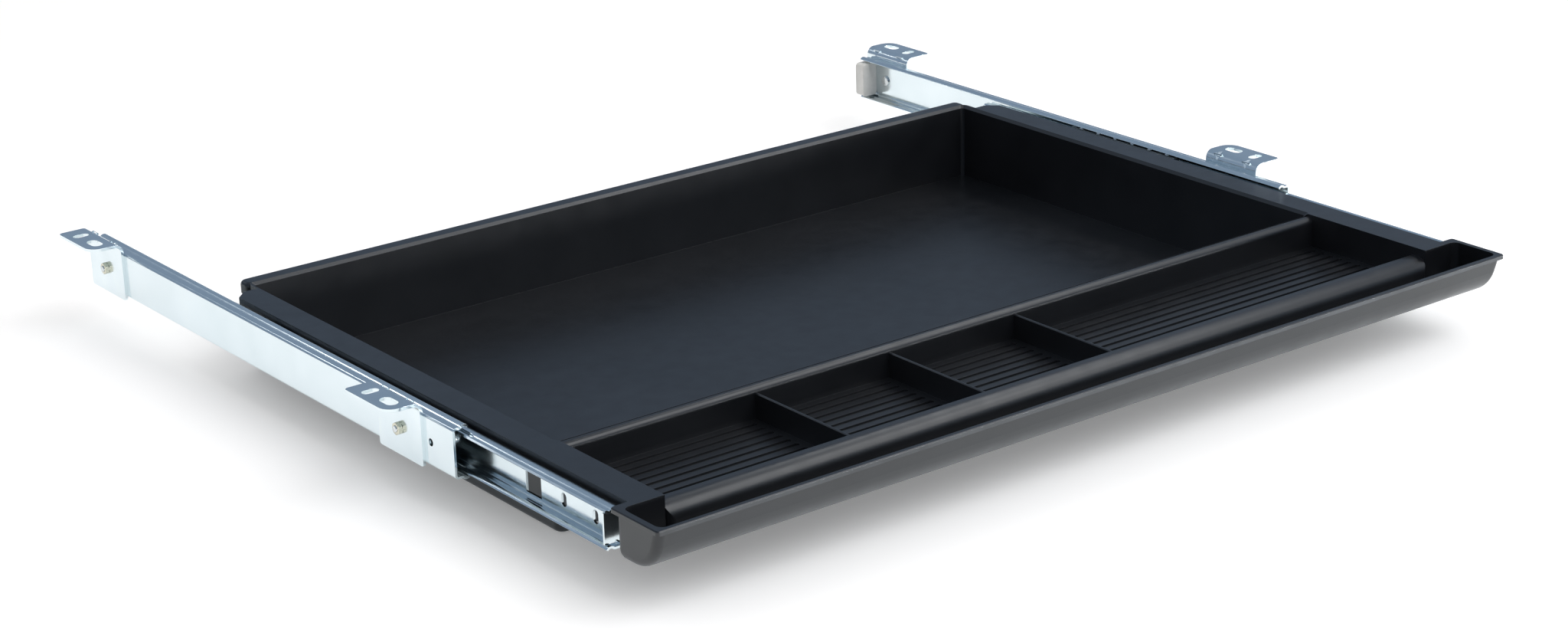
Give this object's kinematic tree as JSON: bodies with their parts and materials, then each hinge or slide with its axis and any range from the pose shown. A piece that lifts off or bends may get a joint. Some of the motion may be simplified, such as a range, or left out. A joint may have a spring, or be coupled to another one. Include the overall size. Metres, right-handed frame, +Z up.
{
  "type": "center desk drawer",
  "caption": "Shallow black moulded center drawer with a divided pencil tray, finger trough and curved front, on ball slides hung from slotted steel brackets.",
  "frame": {"origin": "on the underside of the desk top, in the middle of the four brackets, with the drawer hanging below", "axes": "+X to the user's right, +Y away from the user towards the desk's back, +Z up; the drawer pulls out along -Y"},
  "size_m": [0.6082, 0.5508, 0.0541],
  "materials": {
    "tray_plastic": "fine satin moulded surface",
    "rail_zinc": "bright clear zinc plate with a blue cast",
    "bracket_zinc": "bright clear zinc plate with a blue cast",
    "nut_zinc": "pale yellow zinc plate",
    "screw_zinc": "zinc plate",
    "cage_steel": "plain strip steel, lightly greased",
    "ball_steel": "polished",
    "stop_nylon": "natural white nylon"
  },
  "bodies": {
    "rails": {"left_outer_rail": "rail_zinc", "right_outer_rail": "rail_zinc", "left_rail_bumper": "stop_nylon", "right_rail_bumper": "stop_nylon", "left_front_bracket": "bracket_zinc", "left_rear_bracket": "bracket_zinc", "right_front_bracket": "bracket_zinc", "right_rear_bracket": "bracket_zinc", "left_front_bolt": "screw_zinc", "left_rear_bolt": "screw_zinc", "right_front_bolt": "screw_zinc", "right_rear_bolt": "screw_zinc", "left_front_nut": "nut_zinc", "left_rear_nut": "nut_zinc", "right_front_nut": "nut_zinc", "right_rear_nut": "nut_zinc"},
    "drawer": {"drawer_tray": "tray_plastic", "left_inner_rail": "rail_zinc", "right_inner_rail": "rail_zinc", "left_rail_screws": "screw_zinc", "right_rail_screws": "screw_zinc"},
    "left_cage": {"left_ball_cage": "cage_steel", "left_upper_balls": "ball_steel", "left_lower_balls": "ball_steel"},
    "right_cage": {"right_ball_cage": "cage_steel", "right_upper_balls": "ball_steel", "right_lower_balls": "ball_steel"}
  },
  "joints": [
    {"name": "drawer_slide", "type": "slide", "parent": "rails", "child": "drawer", "axis": [0, -1, 0], "range_m": [-0.122, 0.15]},
    {"name": "left_cage_slide", "type": "slide", "parent": "rails", "child": "left_cage", "axis": [0, -1, 0], "range_m": [-0.061, 0.075]},
    {"name": "right_cage_slide", "type": "slide", "parent": "rails", "child": "right_cage", "axis": [0, -1, 0], "range_m": [-0.061, 0.075]}
  ],
  "couplings": [
    {"joint": "left_cage_slide", "follows": "drawer_slide", "ratio": 0.5},
    {"joint": "right_cage_slide", "follows": "drawer_slide", "ratio": 0.5}
  ]
}
